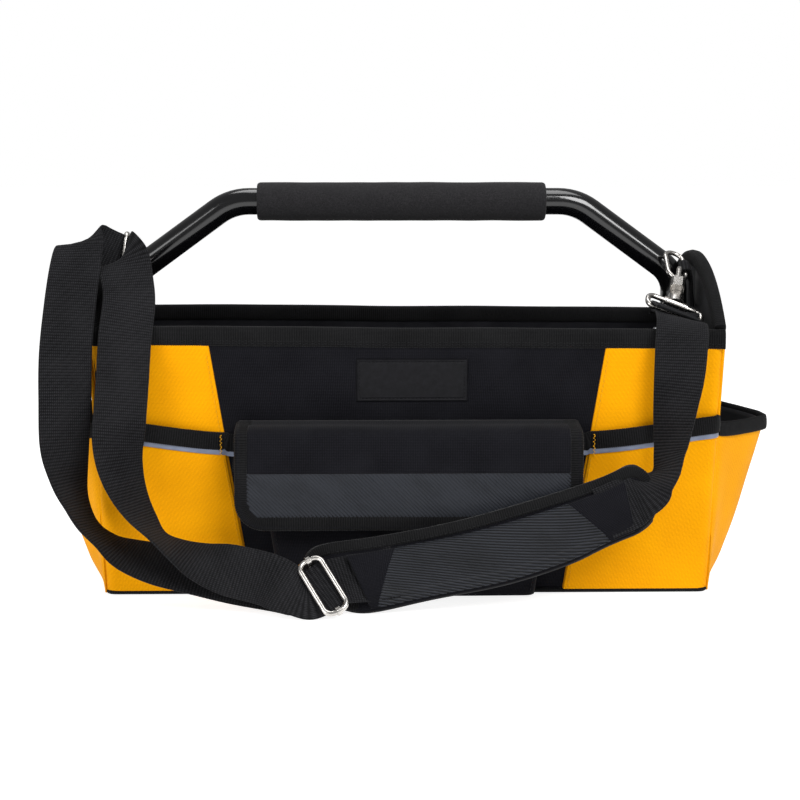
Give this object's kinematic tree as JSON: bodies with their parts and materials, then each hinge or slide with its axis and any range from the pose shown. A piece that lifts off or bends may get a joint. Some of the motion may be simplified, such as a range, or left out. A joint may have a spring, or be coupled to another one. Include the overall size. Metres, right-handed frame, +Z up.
{
  "type": "tool bag",
  "caption": "Open-top fabric tool bag with a steel tube handle, outside pockets, a flap pocket and a shoulder strap on swivel snap hooks.",
  "frame": {"origin": "centre of the flat base that the bag stands on", "axes": "+X along the bag's length, to its right end; +Y to its back; +Z up"},
  "size_m": [0.557, 0.3244, 0.3018],
  "materials": {
    "black_fabric": "matte woven polyester",
    "yellow_fabric": "matte woven polyester",
    "board": "plain polyethylene board",
    "lining": "smooth thin lining",
    "binding": "ribbed grosgrain tape",
    "reflective": "satin grey reflective tape",
    "ribbed": "semi-gloss fabric with diagonal ribs",
    "tape": "fuzzy hook-and-loop tape",
    "label": "soft matte moulded patch, blank",
    "tube_paint": "glossy black paint",
    "foam": "fine-grained foam rubber",
    "steel": "plain zinc-plated",
    "webbing": "coarse woven webbing",
    "pad": "padded canvas with ribbed glossy panel",
    "nickel": "bright nickel plate, slightly satin"
  },
  "bodies": {
    "bag": {"back_panel": "black_fabric", "back_rim_binding": "binding", "back_stiffener": "board", "base_board": "board", "bottom_panel": "black_fabric", "centre_pocket": "black_fabric", "front_left_pocket": "yellow_fabric", "front_left_pocket_band": "binding", "front_left_reflective_strip": "reflective", "front_panel": "black_fabric", "front_right_pocket": "yellow_fabric", "front_right_pocket_band": "binding", "front_right_reflective_strip": "reflective", "front_rim_binding": "binding", "front_stiffener": "board", "handle_bolts": "steel", "handle_grip": "foam", "handle_nuts": "steel", "handle_tube": "tube_paint", "label_patch": "label", "left_ear_binding": "binding", "left_end_panel": "black_fabric", "left_end_pocket": "yellow_fabric", "left_end_pocket_binding": "binding", "left_end_stiffener": "board", "left_ring_loop": "webbing", "lining": "lining", "pocket_loop_tape": "tape", "right_ear_binding": "binding", "right_end_panel": "black_fabric", "right_end_pocket": "yellow_fabric", "right_end_pocket_binding": "binding", "right_end_stiffener": "board", "right_ring_loop": "webbing", "yellow_panel_back_left": "yellow_fabric", "yellow_panel_back_right": "yellow_fabric", "yellow_panel_front_left": "yellow_fabric", "yellow_panel_front_right": "yellow_fabric"},
    "strap": {"strap_main_run": "webbing", "strap_inner_arm": "webbing", "strap_outer_arm": "webbing", "shoulder_pad": "pad", "left_swivel_eye": "nickel", "right_swivel_eye": "nickel"},
    "flap": {"pocket_flap": "black_fabric", "flap_binding": "binding", "flap_ribbed_strip": "ribbed", "flap_hook_tape": "tape"},
    "slider": {"slider_frame": "nickel", "slider_bar": "nickel"},
    "right_ring": {"right_d_ring": "nickel"},
    "left_ring": {"left_d_ring": "nickel"},
    "right_hook": {"right_hook_body": "nickel", "right_bolt_spring": "steel"},
    "left_hook": {"left_hook_body": "nickel", "left_bolt_spring": "steel"},
    "right_bolt": {"right_hook_bolt": "nickel"},
    "left_bolt": {"left_hook_bolt": "nickel"}
  },
  "joints": [
    {"name": "strap_swing", "type": "hinge", "parent": "bag", "child": "strap", "pos_m": [0, -0.03858, 0.22892], "axis": [-1, 0, 0], "range_deg": [0, 60]},
    {"name": "flap_hinge", "type": "hinge", "parent": "bag", "child": "flap", "pos_m": [0, -0.1192, 0.1307], "axis": [-1, 0, 0], "range_deg": [0, 90]},
    {"name": "slider_slide", "type": "slide", "parent": "strap", "child": "slider", "axis": [0.8742, 0.2484, 0.4172], "range_m": [0, 0.005]},
    {"name": "right_ring_turn", "type": "hinge", "parent": "bag", "child": "right_ring", "pos_m": [0.217, -0.024, 0.236], "axis": [0, -0.8192, -0.5736], "range_deg": [-5, 3]},
    {"name": "left_ring_turn", "type": "hinge", "parent": "bag", "child": "left_ring", "pos_m": [-0.217, -0.024, 0.236], "axis": [0, 0.8192, 0.5736], "range_deg": [-5, 3]},
    {"name": "right_hook_swivel", "type": "hinge", "parent": "strap", "child": "right_hook", "pos_m": [0.20995, -0.03858, 0.22892], "axis": [-0.2001, -0.8303, -0.5202], "range_deg": [-15, 15]},
    {"name": "left_hook_swivel", "type": "hinge", "parent": "strap", "child": "left_hook", "pos_m": [-0.20995, -0.03858, 0.22892], "axis": [0, -0.9326, 0.361], "range_deg": [-15, 15]},
    {"name": "right_bolt_slide", "type": "slide", "parent": "right_hook", "child": "right_bolt", "axis": [-0.2001, -0.8303, -0.5202], "range_m": [0, 0.0032], "stiffness_N_per_m": 400, "springref_m": -0.004},
    {"name": "left_bolt_slide", "type": "slide", "parent": "left_hook", "child": "left_bolt", "axis": [0, -0.9326, 0.361], "range_m": [0, 0.0032], "stiffness_N_per_m": 400, "springref_m": -0.004}
  ],
  "couplings": [
    {"joint": "flap_hinge", "follows": "strap_swing", "ratio": 1.5}
  ]
}
